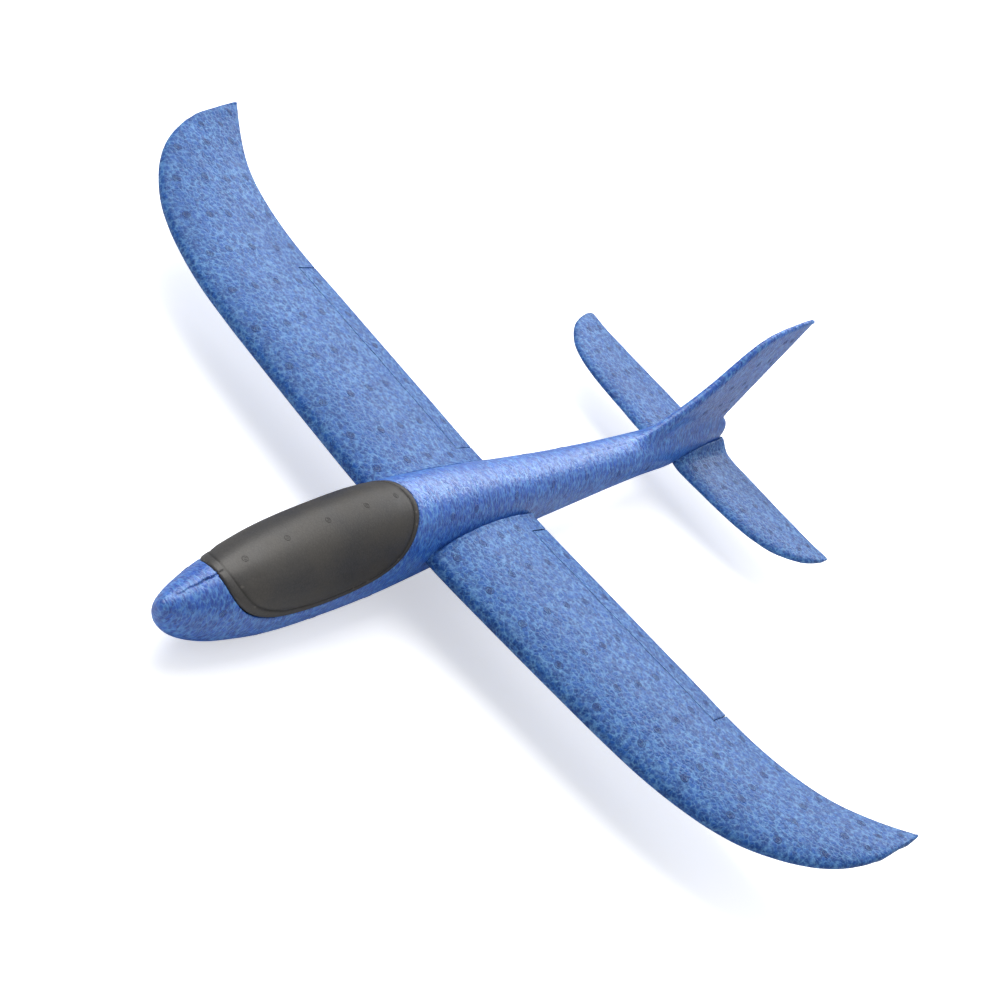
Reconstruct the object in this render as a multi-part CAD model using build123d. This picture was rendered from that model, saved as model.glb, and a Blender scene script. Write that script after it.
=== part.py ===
from build123d import *
import math
import os

# Hand-launch foam glider. Nose towards -Y, fin towards +Y, left wing towards +X, +Z up.
# Origin: centre of the bounding box in X and Y, lowest point of the belly in Z. Millimetres.

# ---------------------------------------------------------------- driving dimensions
HALF_SPAN = 240.0            # wing half span
TAIL_HALF_SPAN = 93.0        # tailplane half span
NOSE_Y = -235.7              # front of the nose
BOOM_END_Y = 221.4           # rear of the boom
CANOPY_T = 5.0               # thickness of the canopy moulding
FIT = 0.12                   # clearance round the wing and the tailplane in their slots
WEIGHT_D = 13.0              # nose weight, turned steel slug
WEIGHT_H = 14.0
WEIGHT_Y = -186.0
HINGE_X0, HINGE_X1 = 26.8, 145.4      # ends of each aileron
HINGE_Y0, HINGE_Y1 = -6.4, -3.6       # hinge line at those ends
END_CUT = 0.5                # width of the cut at each end of an aileron
SKIN_T = 0.7                 # foam skin left over the groove, at the top surface
SKIN_REACH = 1.6             # how far that skin runs over the wing edge
AILERON_GAP = 0.30           # aileron front face behind the hinge axis, at the skin
AILERON_RAKE = 17.0          # degrees the aileron front face leans back towards the underside
LIP_END_Y = 211.0            # rear end of the lip under the tailplane

# fuselage stations: y, top z, bottom z, half width
BODY = [
    (NOSE_Y, 31.6, 29.8, 0.90),
    (-235.0, 32.5, 27.7, 1.95),
    (-233.8, 33.27, 25.12, 3.14),
    (-232.0, 34.12, 22.5, 4.5),
    (-229.0, 35.27, 18.5, 6.25),
    (-225.0, 36.63, 15.1, 8.05),
    (-219.0, 38.54, 11.5, 10.2),
    (-211.0, 40.98, 8.2, 12.5),
    (-201.0, 43.91, 5.3, 14.8),
    (-189.0, 47.19, 3.39, 16.86),
    (-175.0, 50.58, 1.32, 18.49),
    (-158.0, 53.83, 0.15, 19.57),
    (-138.0, 56.35, 0.06, 20.09),
    (-116.0, 58.0, 0.85, 20.46),
    (-94.0, 58.4, 2.82, 20.40),
    (-70.0, 57.73, 5.53, 19.55),
    (-45.0, 56.04, 8.15, 18.2),
    (-20.0, 53.4, 10.18, 16.9),
    (10.0, 50.1, 11.94, 15.4),
    (40.0, 47.0, 13.5, 14.0),
    (70.0, 44.7, 15.0, 12.7),
    (100.0, 43.0, 16.3, 11.4),
    (130.0, 41.9, 17.3, 10.4),
    (160.0, 41.0, 17.9, 9.5),
    (185.0, 40.3, 17.9, 8.5),
    (203.0, 39.8, 18.3, 7.5),
    (213.0, 39.4, 19.2, 6.7),
    (218.0, 38.6, 21.0, 5.7),
    (220.4, 37.2, 23.4, 4.4),
    (BOOM_END_Y, 35.2, 26.4, 2.6),
]
BODY_EXP = 2.15              # superellipse exponent of the body sections

# canopy edge in side view: y, z
CANOPY_EDGE = [
    (-208.9, 42.3), (-206.3, 38.8), (-202.4, 35.0), (-197.0, 31.2), (-189.0, 27.8),
    (-180.0, 25.8), (-163.4, 25.1), (-139.2, 26.7), (-124.0, 29.4), (-113.5, 32.9),
    (-104.8, 38.6), (-99.0, 45.9), (-95.3, 52.5), (-93.0, 56.5), (-91.6, 59.4),
]

# wing stations: x, leading edge y z, trailing edge y z, rise above and drop below the chord
WING = [
    (0.0, -78.0, 32.6, 8.3, 35.0, 8.6, 5.6),
    (26.0, -78.0, 32.6, 8.3, 35.0, 8.6, 5.6),
    (60.0, -75.6, 32.6, 9.3, 35.5, 8.4, 5.5),
    (100.0, -72.3, 32.8, 10.3, 36.1, 8.1, 5.2),
    (130.0, -69.4, 33.0, 11.0, 36.6, 7.8, 4.9),
    (150.0, -66.6, 33.3, 10.9, 37.1, 7.4, 4.6),
    (170.0, -61.8, 34.1, 10.2, 39.2, 6.8, 4.3),
    (185.0, -57.4, 35.6, 10.3, 41.7, 6.2, 4.0),
    (200.0, -51.3, 38.2, 12.1, 44.6, 5.5, 3.6),
    (210.0, -45.2, 40.7, 15.1, 46.8, 4.9, 3.2),
    (219.0, -38.0, 43.3, 19.0, 49.2, 4.3, 2.9),
    (226.0, -30.2, 45.5, 22.6, 51.2, 3.8, 2.6),
    (231.0, -22.6, 47.4, 25.2, 52.9, 3.3, 2.3),
    (235.0, -13.8, 49.4, 27.3, 54.4, 2.8, 2.0),
    (238.0, -4.0, 51.5, 28.8, 55.7, 2.3, 1.7),
    (239.6, 6.0, 53.0, 29.6, 56.4, 1.8, 1.4),
    (HALF_SPAN, 14.0, 54.3, 29.8, 56.9, 1.4, 1.1),
]
WING_TE = 0.9                # half thickness at the trailing edge
WING_NOSE = 0.33             # share of the chord taken by the rounded nose

# tailplane stations: x, LE y z, TE y z, rise, drop, TE half thickness above, below
TAIL = [
    (0.0, 168.6, 24.6, 220.0, 23.6, 7.4, 3.2, 5.2, 2.4),
    (7.6, 168.6, 24.6, 220.0, 23.6, 7.4, 3.2, 5.2, 2.4),
    (9.4, 168.6, 24.0, 220.0, 23.6, 6.4, 3.0, 4.0, 1.9),
    (11.4, 168.8, 23.4, 220.0, 23.4, 5.2, 2.8, 2.6, 1.4),
    (14.0, 169.0, 23.0, 219.9, 23.2, 4.1, 2.6, 1.4, 1.0),
    (17.9, 169.2, 22.9, 219.7, 23.1, 3.5, 2.5, 0.9, 0.8),
    (29.7, 169.4, 23.2, 218.8, 23.4, 3.4, 2.4, 0.8, 0.8),
    (44.4, 169.9, 23.7, 217.7, 23.9, 3.3, 2.3, 0.8, 0.8),
    (57.2, 171.0, 24.2, 216.6, 24.3, 3.2, 2.2, 0.8, 0.8),
    (67.0, 173.2, 24.7, 215.9, 24.8, 3.0, 2.1, 0.8, 0.8),
    (74.9, 177.0, 25.0, 215.4, 25.0, 2.8, 2.0, 0.8, 0.7),
    (81.3, 182.7, 25.3, 215.2, 25.3, 2.5, 1.8, 0.7, 0.7),
    (86.3, 189.2, 25.6, 215.6, 25.5, 2.2, 1.6, 0.7, 0.6),
    (89.6, 195.4, 25.7, 216.0, 25.7, 1.8, 1.4, 0.6, 0.6),
    (91.8, 202.2, 25.9, 216.1, 25.8, 1.4, 1.1, 0.5, 0.5),
    (TAIL_HALF_SPAN, 208.0, 25.9, 215.8, 25.8, 1.0, 0.8, 0.4, 0.4),
]

# fin sections: z, leading edge y, trailing edge y, half thickness
FIN = [
    (34.5, 112.0, 214.5, 3.2),
    (41.0, 120.0, 215.6, 3.2),
    (44.5, 127.5, 216.6, 3.1),
    (48.6, 136.6, 217.8, 2.95),
    (53.0, 144.0, 219.1, 2.85),
    (58.0, 150.8, 220.5, 2.75),
    (65.0, 159.6, 222.7, 2.65),
    (75.0, 168.8, 225.8, 2.45),
    (84.6, 175.4, 228.9, 2.25),
    (93.0, 182.1, 231.6, 2.05),
    (98.5, 188.6, 233.4, 1.85),
    (102.3, 196.6, 234.8, 1.65),
    (104.9, 208.4, 235.4, 1.45),
    (106.4, 220.0, 235.4, 1.2),
    (107.2, 228.6, 234.6, 0.8),
]


# ---------------------------------------------------------------- helpers
def half_body(y, top, bottom, w, side):
    """Half of a body section: a smooth curve from the top centre to the bottom centre."""
    zc, h = (top + bottom) / 2, (top - bottom) / 2
    points = []
    for i in range(0, 13):
        a = math.pi / 2 - math.pi * i / 12
        ca, sa = math.cos(a), math.sin(a)
        x = w * abs(ca) ** (2 / BODY_EXP) if 0 < i < 12 else 0.0
        z = zc + h * math.copysign(abs(sa) ** (2 / BODY_EXP), sa) if i != 6 else zc
        points.append((side * x, y, z))
    return Spline(*points, tangents=((side, 0, 0), (-side, 0, 0)))


def body_loft(shrink=0.0, stations=BODY):
    faces = []
    for y, top, bottom, w in stations:
        t, k = top - shrink, max(w - shrink, 0.4)
        a = half_body(y, t, bottom, k, 1)
        b = half_body(y, t, bottom, k, -1)
        faces.append(make_face([a.edge(), b.edge()]))
    return loft(faces)


def nose_share(s, nose):
    """Share of the full rise at share s of the chord: blunt elliptic nose, long taper."""
    if s <= nose:
        return (1 - ((nose - s) / nose) ** 2.5) ** (1 / 2.5)
    return 1 - ((s - nose) / (1 - nose)) ** 1.8


def aerofoil(x, ly, lz, ty, tz, rise, drop, te_up, te_down, nose, grow=0.0):
    """Closed section in the plane at x: top curve, blunt trailing edge, bottom curve."""
    ly, ty = ly - grow, ty + grow
    shares = [nose * (1 - math.cos(math.radians(a)) ** 0.8) for a in (0, 12, 26, 42, 60, 78)]
    shares += [nose + (1 - nose) * k for k in (0.0, 0.2, 0.4, 0.6, 0.8, 1.0)]

    def point(s, up):
        y, z = ly + (ty - ly) * s, lz + (tz - lz) * s
        if up:
            return (x, y, z + (rise + grow) * nose_share(s, nose) + te_up * s ** 2)
        return (x, y, z - (drop + grow) * nose_share(s, nose) - te_down * s ** 2)

    top = [point(s, True) for s in shares]
    low = [point(s, False) for s in shares]
    c = Spline(*(top[::-1] + low[1:]))
    e = Line(low[-1], top[-1])
    return make_face([c.edge(), e.edge()])


def between(table, x):
    """Row of a station table at x, on smooth curves through the stations."""
    n = len(table)
    i = max(j for j in range(n - 1) if table[j][0] <= x)
    a, b = table[i], table[i + 1]
    h = b[0] - a[0]
    t = (x - a[0]) / h
    row = [x]
    for c in range(1, len(a)):
        d = (b[c] - a[c]) / h
        slopes = []
        for j in (i, i + 1):
            if 0 < j < n - 1:
                h0, h1 = table[j][0] - table[j - 1][0], table[j + 1][0] - table[j][0]
                d0 = (table[j][c] - table[j - 1][c]) / h0
                d1 = (table[j + 1][c] - table[j][c]) / h1
                slopes.append((d0 * h1 + d1 * h0) / (h0 + h1))
            else:
                slopes.append(d)
        m0, m1 = slopes
        row.append(
            a[c] * (1 + 2 * t) * (1 - t) ** 2
            + b[c] * t * t * (3 - 2 * t)
            + h * m0 * t * (1 - t) ** 2
            - h * m1 * t * t * (1 - t)
        )
    return row


def half_surface(stations, places, side, te, nose):
    """A wing or tailplane half: a straight middle, then closely spaced sections to the tip."""
    faces = []
    for x in places:
        row = between(stations, x) if x > stations[1][0] else [x, *stations[1][1:]]
        up, down = (row[7], row[8]) if len(row) > 7 else (te, te)
        faces.append(aerofoil(side * x, *row[1:7], up, down, nose))
    outer = loft(faces, ruled=True)
    root_row = stations[0]
    up, down = (root_row[7], root_row[8]) if len(root_row) > 7 else (te, te)
    root = aerofoil(0.0, *root_row[1:7], up, down, nose)
    inner = extrude(root, amount=places[0], dir=(side, 0, 0))
    return inner + outer


def wing_z(x, y, up):
    _, ly, lz, ty, tz, rise, drop = between(WING, x)
    s = (y - ly) / (ty - ly)
    mid = lz + (tz - lz) * s
    if up:
        return mid + rise * nose_share(s, WING_NOSE) + WING_TE * s ** 2
    return mid - drop * nose_share(s, WING_NOSE) - WING_TE * s ** 2


def save(shape, name):
    solids = shape.solids()
    out = solids[0] if len(solids) == 1 else Compound(children=list(solids))
    out.label = name
    export_step(out, os.path.join("parts", name + ".step"))
    box = out.bounding_box()
    print(name, len(solids), round(out.volume), box.min, box.max)


os.makedirs("parts", exist_ok=True)

# ---------------------------------------------------------------- fuselage with fin
body = body_loft()
core = body_loft(CANOPY_T, [s for s in BODY if -226 < s[0] < -60])
body = body.solid()

fin_faces = []
for z, ly, ty, t in FIN:
    chord = ty - ly
    nose = min(2.2 * t, 0.3 * chord)
    right = []
    for a in (0, 20, 42, 66, 90):
        r = math.radians(a)
        right.append((t * math.sin(r), ly + nose * (1 - math.cos(r)), z))
    for k in (0.2, 0.4, 0.6, 0.8, 1.0):
        right.append((t * (1 - 0.62 * k ** 1.5), ly + nose + (chord - nose) * k, z))
    left = [(-x, y, zz) for x, y, zz in right]
    c = Spline(*(right[::-1] + left[1:]))
    e = Line(left[-1], right[-1])
    fin_faces.append(make_face([c.edge(), e.edge()]))
fin = loft(fin_faces)
moulding = body + fin.solid()

# canopy recess: everything above the canopy edge, down to the inner core
edge = Spline(*[(0, y, z) for y, z in CANOPY_EDGE])
y0, z0 = CANOPY_EDGE[0]
y1, z1 = CANOPY_EDGE[-1]
cap = Polyline((0, y1, z1), (0, y1, 72), (0, y0, 72), (0, y0, z0))
window = extrude(make_face([edge.edge(), *cap.edges()]), amount=40, dir=(1, 0, 0), both=True)
recess = window - core
canopy = body & recess

# weight pocket under the canopy
pocket_top = 60
weight_z = 41.0 - WEIGHT_H - 1.2
pocket = Pos(0, WEIGHT_Y, weight_z + (pocket_top - weight_z) / 2) * Cylinder(
    WEIGHT_D / 2 + FIT, pocket_top - weight_z
)
weight = Pos(0, WEIGHT_Y, weight_z + WEIGHT_H / 2) * Cylinder(WEIGHT_D / 2, WEIGHT_H)
weight = chamfer(weight.edges().filter_by(GeomType.CIRCLE), 0.8)

# wing slot, right through the body
x, ly, lz, ty, tz, rise, drop = WING[0]
slot = extrude(
    aerofoil(-30.0, ly, lz, ty, tz, rise, drop, WING_TE + FIT, WING_TE + FIT, WING_NOSE, FIT),
    amount=60, dir=(1, 0, 0),
)
# tailplane slot, open to the rear
x, ly, lz, ty, tz, rise, drop, up, down = TAIL[0]
tail_slot = extrude(
    aerofoil(-20.0, ly, lz, ty + 12, tz - 0.25, rise, drop, up + 0.2, down + 0.2, 0.33, FIT),
    amount=40, dir=(1, 0, 0),
)
# the profile above is stretched rearwards, so it is cut again over its real rear half
x, ly, lz, ty, tz, rise, drop, up, down = TAIL[0]
tail_fit = extrude(
    aerofoil(-20.0, ly, lz, ty, tz, rise, drop, up, down, 0.33, FIT), amount=40, dir=(1, 0, 0)
)
lip_cut = Pos(0, LIP_END_Y + 10, 20.4) * Box(40, 20, 8)

fuselage = moulding - recess - pocket - slot - tail_slot - tail_fit - lip_cut
fuselage = max(fuselage.solids(), key=lambda s: s.volume)
save(fuselage, "fuselage")
save(max(canopy.solids(), key=lambda s: s.volume), "canopy")
save(weight, "nose_weight")

# ---------------------------------------------------------------- wing and ailerons
WING_AT = [26.0, 38, 50, 62, 74, 86, 98, 110, 122, 134, 144, 152, 160, 168, 176, 183, 190, 196,
           202, 207, 212, 216, 220, 224, 227, 230, 232.5, 234.5, 236.3, 237.8, 239, 239.7, HALF_SPAN]
wing = half_surface(WING, WING_AT, 1, WING_TE, WING_NOSE)
wing = wing + half_surface(WING, WING_AT, -1, WING_TE, WING_NOSE)

for side, word in ((1, "left"), (-1, "right")):
    ends = []
    for hx, hy in ((HINGE_X0, HINGE_Y0), (HINGE_X1, HINGE_Y1)):
        ends.append((side * hx, hy, wing_z(hx, hy, True) - SKIN_T / 2))
    print("hinge", word, ends)
    (xa, ya, za), (xb, yb, zb) = ends
    lean = math.tan(math.radians(AILERON_RAKE))

    def prism(front_low, front_high, xs, low=-12.0, high=16.0, back=40.0, skin=None):
        """Block behind the hinge line: front face from low to high, lofted across the span."""
        faces = []
        for (px, py, pz), ex in zip(ends, xs):
            k = (ex - xa) / (xb - xa)
            cy, cz = ya + (yb - ya) * k, za + (zb - za) * k
            faces.append(make_face(Polyline(
                (ex, cy + front_low, cz + low), (ex, cy + front_high, cz + high),
                (ex, cy + back, cz + high), (ex, cy + back, cz + low), close=True)))
        return loft(faces, ruled=True)

    # room taken out of the wing: from just ahead of the hinge axis to behind the trailing edge
    room = prism(-0.15, -0.15, (xa - side * END_CUT, xb + side * END_CUT))
    # the aileron: below the hinge its front face leans back, so the groove is a V open underneath
    keep = prism(AILERON_GAP + 12.0 * lean, AILERON_GAP - 16.0 * lean, (xa, xb))
    keep = keep & prism(AILERON_GAP, AILERON_GAP, (xa, xb))
    aileron = wing & keep
    save(max(aileron.solids(), key=lambda s: s.volume), "aileron_" + word)

    # foam skin that joins them, a strip of the upper surface over the wing edge
    strip_faces = []
    for ex in (xa, xb):
        k = (ex - xa) / (xb - xa)
        cy, cz = ya + (yb - ya) * k, za + (zb - za) * k
        strip_faces.append(make_face(Polyline(
            (ex, cy - SKIN_REACH, cz - SKIN_T / 2), (ex, cy - SKIN_REACH, cz + 6),
            (ex, cy - 0.15, cz + 6), (ex, cy - 0.15, cz - SKIN_T / 2), close=True)))
    strip = loft(strip_faces, ruled=True)
    skin = wing & strip
    print("skin pieces", [round(q.volume, 2) for q in skin.solids()])
    save(max(skin.solids(), key=lambda s: s.volume), "aileron_hinge_" + word)
    wing = wing - room - strip

save(wing, "wing")

# ---------------------------------------------------------------- tailplane
TAIL_AT = [7.6, 8.6, 9.6, 10.7, 11.9, 13.2, 14.6, 16.2, 18, 24, 32, 40, 48, 56, 63, 69, 74, 78, 81.5,
           84.5, 86.7, 88.6, 90, 91, 91.8, 92.3, 92.7, TAIL_HALF_SPAN]
tail = half_surface(TAIL, TAIL_AT, 1, 0.8, 0.33) + half_surface(TAIL, TAIL_AT, -1, 0.8, 0.33)
save(tail, "tailplane")
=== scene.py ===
import bpy
import math
import numpy as np
from mathutils import Matrix, Vector


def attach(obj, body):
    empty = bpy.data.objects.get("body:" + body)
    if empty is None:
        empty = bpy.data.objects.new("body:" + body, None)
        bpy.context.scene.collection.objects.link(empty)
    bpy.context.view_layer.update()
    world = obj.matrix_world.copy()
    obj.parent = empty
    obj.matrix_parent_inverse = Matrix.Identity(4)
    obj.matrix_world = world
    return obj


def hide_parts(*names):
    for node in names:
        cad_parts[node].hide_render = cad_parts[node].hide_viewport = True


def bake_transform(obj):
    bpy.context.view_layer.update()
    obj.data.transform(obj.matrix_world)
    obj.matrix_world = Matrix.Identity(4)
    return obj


# Hand-launch foam glider. Nose towards -Y, fin towards +Y, left wing towards +X, +Z up.
# All shape numbers below are millimetres in the CAD frame; meshes are written in metres.

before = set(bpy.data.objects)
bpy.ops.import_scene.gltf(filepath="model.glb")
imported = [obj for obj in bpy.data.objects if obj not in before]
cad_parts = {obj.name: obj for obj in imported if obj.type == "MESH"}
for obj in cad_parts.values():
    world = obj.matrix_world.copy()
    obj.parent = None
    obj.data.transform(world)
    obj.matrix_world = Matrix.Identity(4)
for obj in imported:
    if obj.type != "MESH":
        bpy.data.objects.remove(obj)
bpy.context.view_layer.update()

# ---------------------------------------------------------------- shape tables (as in the CAD)
HALF_SPAN = 240.0
TAIL_HALF_SPAN = 93.0
HINGE_X0, HINGE_X1, HINGE_Y0, HINGE_Y1 = 26.8, 145.4, -6.4, -3.6
END_CUT = 0.5
SKIN_T = 0.7
RAKE = math.tan(math.radians(17.0))
BODY_EXP = 2.15
WING_TE, WING_NOSE = 0.9, 0.33

BODY = [
    (-235.7, 31.6, 29.8, 0.90), (-235.0, 32.5, 27.7, 1.95), (-233.8, 33.27, 25.12, 3.14),
    (-232.0, 34.12, 22.5, 4.5), (-229.0, 35.27, 18.5, 6.25), (-225.0, 36.63, 15.1, 8.05),
    (-219.0, 38.54, 11.5, 10.2), (-211.0, 40.98, 8.2, 12.5), (-201.0, 43.91, 5.3, 14.8),
    (-189.0, 47.19, 3.39, 16.86), (-175.0, 50.58, 1.32, 18.49), (-158.0, 53.83, 0.15, 19.57),
    (-138.0, 56.35, 0.06, 20.09), (-116.0, 58.0, 0.85, 20.46), (-94.0, 58.4, 2.82, 20.40),
    (-70.0, 57.73, 5.53, 19.55), (-45.0, 56.04, 8.15, 18.2), (-20.0, 53.4, 10.18, 16.9),
    (10.0, 50.1, 11.94, 15.4), (40.0, 47.0, 13.5, 14.0), (70.0, 44.7, 15.0, 12.7),
    (100.0, 43.0, 16.3, 11.4), (130.0, 41.9, 17.3, 10.4), (160.0, 41.0, 17.9, 9.5),
    (185.0, 40.3, 17.9, 8.5), (203.0, 39.8, 18.3, 7.5), (213.0, 39.4, 19.2, 6.7),
    (218.0, 38.6, 21.0, 5.7), (220.4, 37.2, 23.4, 4.4), (221.4, 35.2, 26.4, 2.6),
]
CANOPY_EDGE = [
    (-208.9, 42.3), (-206.3, 38.8), (-202.4, 35.0), (-197.0, 31.2), (-189.0, 27.8),
    (-180.0, 25.8), (-163.4, 25.1), (-139.2, 26.7), (-124.0, 29.4), (-113.5, 32.9),
    (-104.8, 38.6), (-99.0, 45.9), (-95.3, 52.5), (-93.0, 56.5), (-91.6, 59.4),
]
WING = [
    (0.0, -78.0, 32.6, 8.3, 35.0, 8.6, 5.6), (26.0, -78.0, 32.6, 8.3, 35.0, 8.6, 5.6),
    (60.0, -75.6, 32.6, 9.3, 35.5, 8.4, 5.5), (100.0, -72.3, 32.8, 10.3, 36.1, 8.1, 5.2),
    (130.0, -69.4, 33.0, 11.0, 36.6, 7.8, 4.9), (150.0, -66.6, 33.3, 10.9, 37.1, 7.4, 4.6),
    (170.0, -61.8, 34.1, 10.2, 39.2, 6.8, 4.3), (185.0, -57.4, 35.6, 10.3, 41.7, 6.2, 4.0),
    (200.0, -51.3, 38.2, 12.1, 44.6, 5.5, 3.6), (210.0, -45.2, 40.7, 15.1, 46.8, 4.9, 3.2),
    (219.0, -38.0, 43.3, 19.0, 49.2, 4.3, 2.9), (226.0, -30.2, 45.5, 22.6, 51.2, 3.8, 2.6),
    (231.0, -22.6, 47.4, 25.2, 52.9, 3.3, 2.3), (235.0, -13.8, 49.4, 27.3, 54.4, 2.8, 2.0),
    (238.0, -4.0, 51.5, 28.8, 55.7, 2.3, 1.7), (239.6, 6.0, 53.0, 29.6, 56.4, 1.8, 1.4),
    (240.0, 14.0, 54.3, 29.8, 56.9, 1.4, 1.1),
]
TAIL = [
    (0.0, 168.6, 24.6, 220.0, 23.6, 7.4, 3.2, 5.2, 2.4),
    (7.6, 168.6, 24.6, 220.0, 23.6, 7.4, 3.2, 5.2, 2.4),
    (9.4, 168.6, 24.0, 220.0, 23.6, 6.4, 3.0, 4.0, 1.9),
    (11.4, 168.8, 23.4, 220.0, 23.4, 5.2, 2.8, 2.6, 1.4),
    (14.0, 169.0, 23.0, 219.9, 23.2, 4.1, 2.6, 1.4, 1.0),
    (17.9, 169.2, 22.9, 219.7, 23.1, 3.5, 2.5, 0.9, 0.8),
    (29.7, 169.4, 23.2, 218.8, 23.4, 3.4, 2.4, 0.8, 0.8),
    (44.4, 169.9, 23.7, 217.7, 23.9, 3.3, 2.3, 0.8, 0.8),
    (57.2, 171.0, 24.2, 216.6, 24.3, 3.2, 2.2, 0.8, 0.8),
    (67.0, 173.2, 24.7, 215.9, 24.8, 3.0, 2.1, 0.8, 0.8),
    (74.9, 177.0, 25.0, 215.4, 25.0, 2.8, 2.0, 0.8, 0.7),
    (81.3, 182.7, 25.3, 215.2, 25.3, 2.5, 1.8, 0.7, 0.7),
    (86.3, 189.2, 25.6, 215.6, 25.5, 2.2, 1.6, 0.7, 0.6),
    (89.6, 195.4, 25.7, 216.0, 25.7, 1.8, 1.4, 0.6, 0.6),
    (91.8, 202.2, 25.9, 216.1, 25.8, 1.4, 1.1, 0.5, 0.5),
    (93.0, 208.0, 25.9, 215.8, 25.8, 1.0, 0.8, 0.4, 0.4),
]
FIN = [
    (34.5, 112.0, 214.5, 3.2), (41.0, 120.0, 215.6, 3.2), (44.5, 127.5, 216.6, 3.1),
    (48.6, 136.6, 217.8, 2.95), (53.0, 144.0, 219.1, 2.85), (58.0, 150.8, 220.5, 2.75),
    (65.0, 159.6, 222.7, 2.65), (75.0, 168.8, 225.8, 2.45), (84.6, 175.4, 228.9, 2.25),
    (93.0, 182.1, 231.6, 2.05), (98.5, 188.6, 233.4, 1.85), (102.3, 196.6, 234.8, 1.65),
    (104.9, 208.4, 235.4, 1.45), (106.4, 220.0, 235.4, 1.2), (107.2, 228.6, 234.6, 0.8),
]


# ---------------------------------------------------------------- numeric helpers
def hermite(table, at):
    """Rows of a station table at the places 'at', on smooth curves through the stations."""
    t = np.array(table, float)
    X, Y = t[:, 0], t[:, 1:]
    h = np.diff(X)
    d = np.diff(Y, axis=0) / h[:, None]
    m = np.empty_like(Y)
    m[0], m[-1] = d[0], d[-1]
    m[1:-1] = (d[:-1] * h[1:, None] + d[1:] * h[:-1, None]) / (h[:-1] + h[1:])[:, None]
    at = np.atleast_1d(np.asarray(at, float))
    i = np.clip(np.searchsorted(X, at, side="right") - 1, 0, len(X) - 2)
    u = ((at - X[i]) / h[i])[:, None]
    H = h[i][:, None]
    return (Y[i] * (1 + 2 * u) * (1 - u) ** 2 + Y[i + 1] * u * u * (3 - 2 * u)
            + H * m[i] * u * (1 - u) ** 2 - H * m[i + 1] * u * u * (1 - u))


def smoothstep(a, b, v):
    u = np.clip((np.asarray(v, float) - a) / (b - a), 0, 1)
    return u * u * (3 - 2 * u)


def smin(a, b, k):
    h = np.clip(0.5 + 0.5 * (b - a) / k, 0, 1)
    return b * (1 - h) + a * h - k * h * (1 - h)


def smax(a, b, k):
    return -smin(-a, -b, k)


def wobble(p, size, seed=0):
    """Gentle, repeatable unevenness of a moulded foam surface, about -1 to 1."""
    rng = np.random.default_rng(seed)
    out = np.zeros(len(p))
    for _ in range(7):
        k = rng.normal(size=3)
        k *= 2 * math.pi / (size * rng.uniform(0.7, 1.6)) / np.linalg.norm(k)
        out += np.sin(p @ k + rng.uniform(0, 6.28))
    return out / 3.7


def new_mesh(name, verts, faces, shade=None, sharp=40.0):
    """A mesh piece from millimetre points. 'shade' is a per-point mask of painted shade for grooves and recesses,
    stored as a point attribute.
    """
    me = bpy.data.meshes.new(name)
    me.from_pydata([tuple(v) for v in (np.asarray(verts) * 0.001)], [], [tuple(f) for f in faces])
    me.validate()
    if shade is not None and len(me.vertices) == len(shade):
        a = me.attributes.new("painted_crevice_shade", "FLOAT", "POINT")
        a.data.foreach_set("value", np.asarray(shade, np.float32))
    me.shade_smooth()
    if sharp:
        me.set_sharp_from_angle(angle=math.radians(sharp))
    ob = bpy.data.objects.new(name, me)
    bpy.context.scene.collection.objects.link(ob)
    return ob


# ---------------------------------------------------------------- fuselage as a distance field
Y0, Y1 = -236.0, 221.9


def stretch(y):
    return np.arccos(1 - 2 * np.clip((y - Y0) / (Y1 - Y0), 0, 1))


_s = np.linspace(0, math.pi, 6001)
_cols = hermite([(0, 30.7, 30.7, 0.0)] + [(float(stretch(np.array(r[0]))), *r[1:]) for r in BODY]
                + [(math.pi, 31.2, 31.2, 0.0)], _s)


def profile(y):
    s = stretch(y)
    return tuple(np.interp(s, _s, _cols[:, c]) for c in range(3))


def d_body(x, y, z):
    top, bottom, w = profile(y)
    zc = (top + bottom) / 2
    h = np.maximum((top - bottom) / 2, 0.03)
    w = np.maximum(w, 0.03)
    dz = z - zc
    r = ((np.abs(x) / w) ** BODY_EXP + (np.abs(dz) / h) ** BODY_EXP) ** (1 / BODY_EXP)
    rad = np.hypot(x, dz)
    d = np.where(r < 1e-3, -np.minimum(w, h), rad - rad / np.maximum(r, 1e-6))
    over = np.maximum(np.maximum(Y0 - y, y - Y1), 0)
    return np.where(over > 0, np.hypot(np.maximum(d, 0), over), d)


_fz = np.linspace(34.5, 107.2, 1501)
_fc = hermite(FIN, _fz)
_fs = np.gradient(_fc[:, 0], _fz)
_ft = np.gradient(_fc[:, 1], _fz)


def d_fin(x, y, z):
    zz = np.clip(z, 34.5, 107.2)
    ly = np.interp(zz, _fz, _fc[:, 0])
    ty = np.interp(zz, _fz, _fc[:, 1])
    t = np.interp(zz, _fz, _fc[:, 2])
    cl = 1 / np.sqrt(1 + np.interp(zz, _fz, _fs) ** 2)
    ct = 1 / np.sqrt(1 + np.interp(zz, _fz, _ft) ** 2)
    n = 1.5 * t
    back = (y - ly) * cl
    a = (n - back) / n
    q = np.hypot(x / t, np.maximum(a, 0))
    k = np.clip((back - n) / np.maximum((ty - ly) * cl - n, 1.0), 0, 1)
    T = t * (1 - 0.62 * k ** 1.5)
    d = np.where(a > 0, (q - 1) * t * (1 + 0.35 * np.clip(a, 0, 1)), np.abs(x) - T)
    d = smax(d, (y - ty) * ct, 0.9)
    d = smax(d, z - 107.3, 0.8)
    return smax(d, 30.0 - z, 0.5)


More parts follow.
